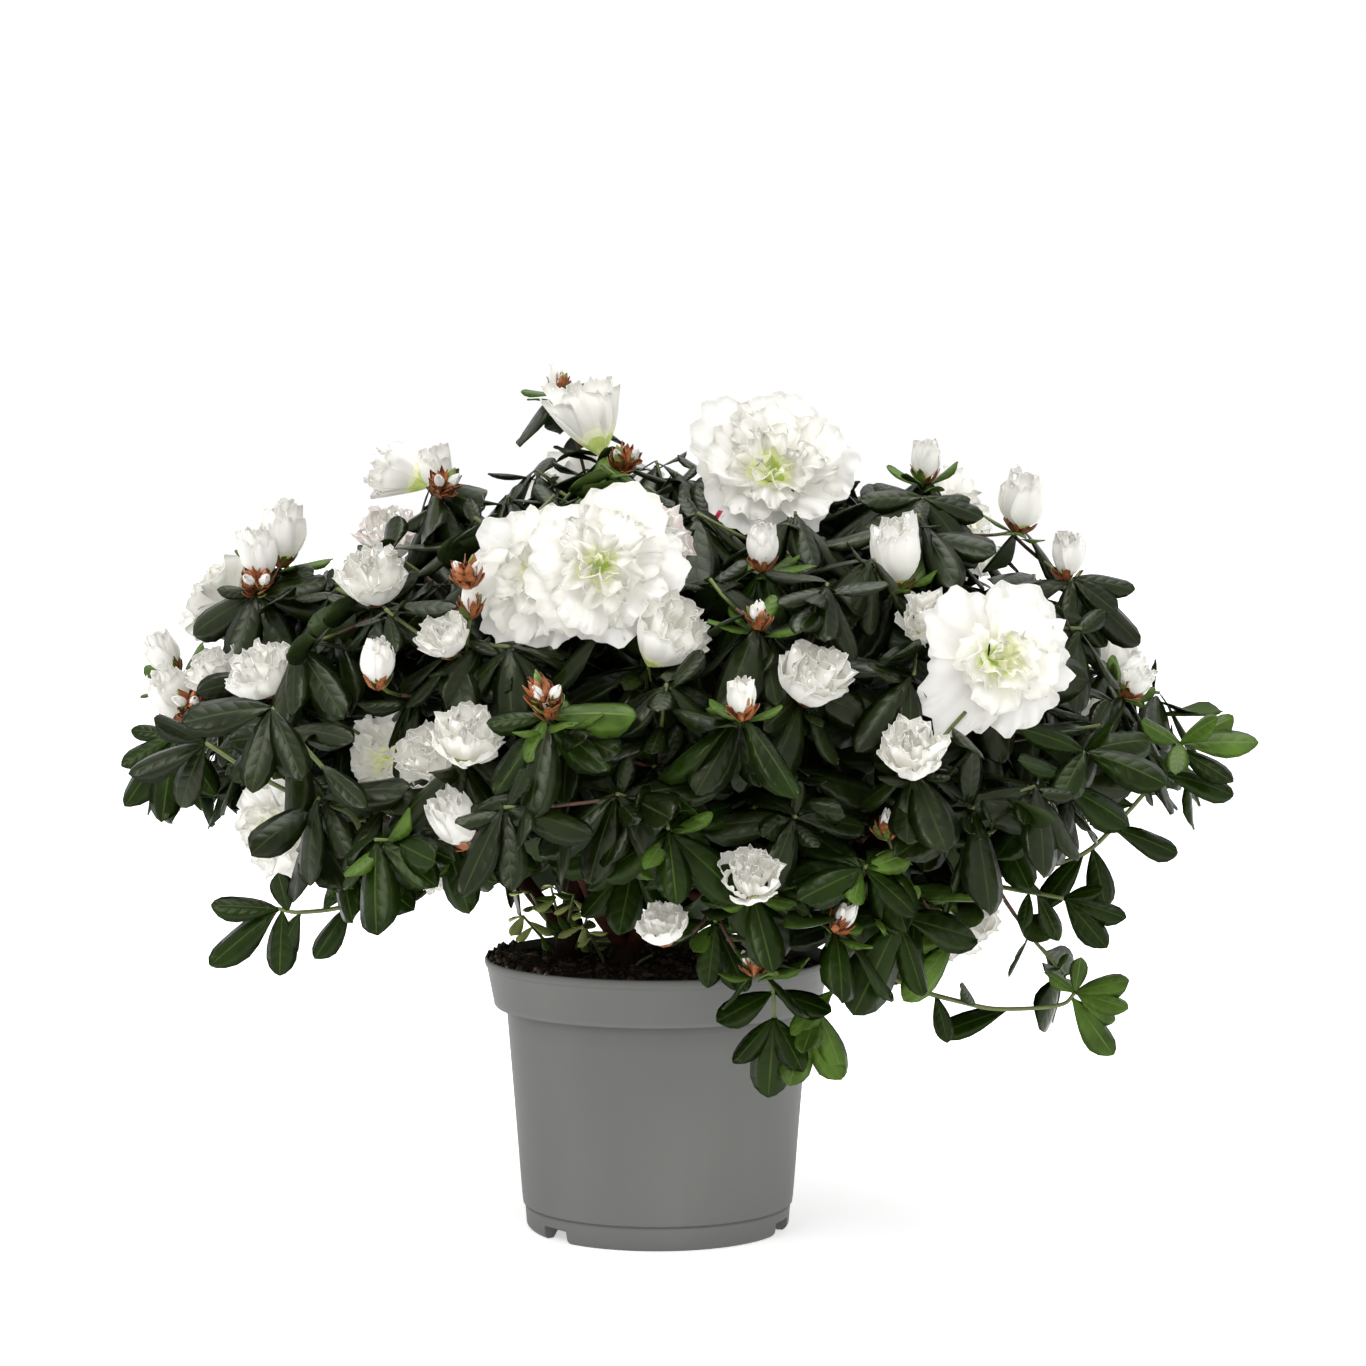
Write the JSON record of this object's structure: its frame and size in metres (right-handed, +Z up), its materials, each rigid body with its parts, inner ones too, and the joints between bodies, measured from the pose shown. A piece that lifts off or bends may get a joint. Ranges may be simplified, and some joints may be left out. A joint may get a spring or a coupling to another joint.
{
  "type": "double-flowered azalea shrub in a plastic pot",
  "caption": "Broad, domed evergreen azalea with double flowers and buds, on two woody stems, in a tapered round pot filled with compost.",
  "frame": {"origin": "middle of the pot's flat underside", "axes": "+Z up, -Y to the front of the plant, +X to the right as seen from the front"},
  "size_m": [0.5063, 0.4373, 0.3732],
  "materials": {
    "pot": "satin grey plastic",
    "compost": "crumbly dark peat",
    "bark": "rough reddish brown bark",
    "foliage": "leathery dark green leaves, white flowers"
  },
  "bodies": {
    "root": {"pot": "pot", "compost": "compost", "main_stem": "bark", "side_stem": "bark", "bough_top": "bark", "bough_upper_front_right": "bark", "bough_upper_right": "bark", "bough_upper_back": "bark", "bough_upper_left": "bark", "bough_upper_front_left": "bark", "bough_lower_front": "bark", "bough_lower_right_of_front": "bark", "bough_lower_front_of_right": "bark", "bough_lower_back_of_right": "bark", "bough_lower_right_of_back": "bark", "bough_lower_left_of_back": "bark", "bough_lower_back_of_left": "bark", "bough_lower_front_of_left": "bark", "bough_lower_left_of_front": "bark", "foliage_top": "foliage", "foliage_upper_front_right": "foliage", "foliage_upper_right": "foliage", "foliage_upper_back": "foliage", "foliage_upper_left": "foliage", "foliage_upper_front_left": "foliage", "foliage_lower_front": "foliage", "foliage_lower_right_of_front": "foliage", "foliage_lower_front_of_right": "foliage", "foliage_lower_back_of_right": "foliage", "foliage_lower_right_of_back": "foliage", "foliage_lower_left_of_back": "foliage", "foliage_lower_back_of_left": "foliage", "foliage_lower_front_of_left": "foliage", "foliage_lower_left_of_front": "foliage"}
  },
  "joints": []
}
